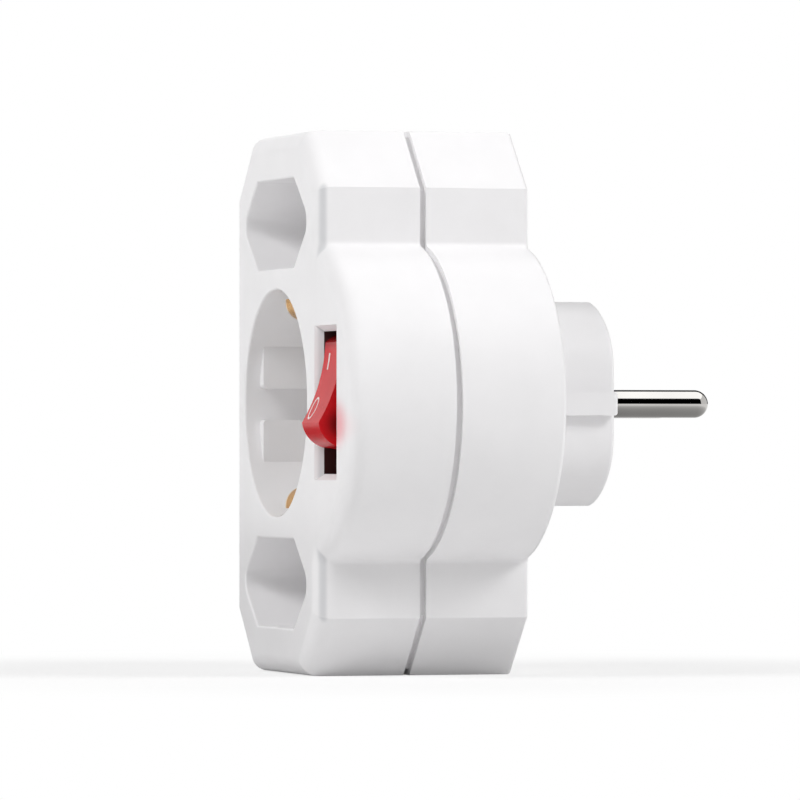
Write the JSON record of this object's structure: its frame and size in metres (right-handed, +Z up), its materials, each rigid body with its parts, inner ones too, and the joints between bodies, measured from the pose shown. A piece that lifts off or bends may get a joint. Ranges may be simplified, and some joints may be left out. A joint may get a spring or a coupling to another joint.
{
  "type": "plug adapter",
  "caption": "White wall plug adapter with a round earthed socket between two flat two-pin sockets and a lit rocker switch in a side bulge.",
  "frame": {"origin": "midway between the plug pins, on the plug's end face", "axes": "+Y the way the plug pins point, +Z up along the housing's length, +X towards the switch"},
  "size_m": [0.0719, 0.078, 0.0926],
  "materials": {
    "shell": "satin gloss white",
    "rocker": "clear red, lit from inside",
    "switch_case": "black moulded",
    "pin": "nickel plated",
    "earth_spring": "bare rolled brass",
    "earth_strip": "bare rolled brass",
    "strip": "bare rolled brass",
    "contact": "spring brass",
    "contact_button": "silver rivet",
    "screw": "zinc plated",
    "spring_steel": "drawn wire",
    "plunger": "moulded",
    "wire": "blue insulation",
    "lead": "tinned wire",
    "lamp_glass": "clear glass",
    "resistor": "lacquered"
  },
  "bodies": {
    "housing": {"front_shell": "shell", "rear_shell": "shell", "housing_screws": "screw", "live_pin": "pin", "neutral_pin": "pin", "plug_earth_bracket": "earth_strip", "socket_earth_bracket": "earth_spring", "earth_screw": "screw", "live_busbar": "strip", "neutral_busbar": "strip", "live_feed_strap": "strip", "load_strap": "strip", "neutral_pin_strap": "strip", "neutral_wire": "wire", "switch_case": "switch_case", "load_button": "contact_button", "common_terminal": "strip", "load_terminal": "strip", "neutral_terminal": "strip", "neon_lamp": "lamp_glass", "lamp_resistor": "resistor", "lamp_link_lead": "lead", "lamp_load_lead": "lead", "lamp_neutral_lead": "lead", "round_socket_live_contact": "contact", "round_socket_neutral_contact": "contact", "upper_socket_live_contact": "contact", "upper_socket_neutral_contact": "contact", "lower_socket_live_contact": "contact", "lower_socket_neutral_contact": "contact"},
    "rocker": {"rocker": "rocker", "plunger": "plunger", "plunger_spring": "spring_steel"},
    "blade": {"contact_blade": "strip", "blade_button": "contact_button"}
  },
  "joints": [
    {"name": "rocker_tilt", "type": "hinge", "parent": "housing", "child": "rocker", "pos_m": [0.03085, -0.0459, 0], "axis": [1, 0, 0], "range_deg": [0, 34]},
    {"name": "blade_tilt", "type": "hinge", "parent": "housing", "child": "blade", "pos_m": [0.03085, -0.0398, 0], "axis": [1, 0, 0], "range_deg": [-16, 0]}
  ],
  "couplings": [
    {"joint": "blade_tilt", "follows": "rocker_tilt", "ratio": -0.47059}
  ]
}
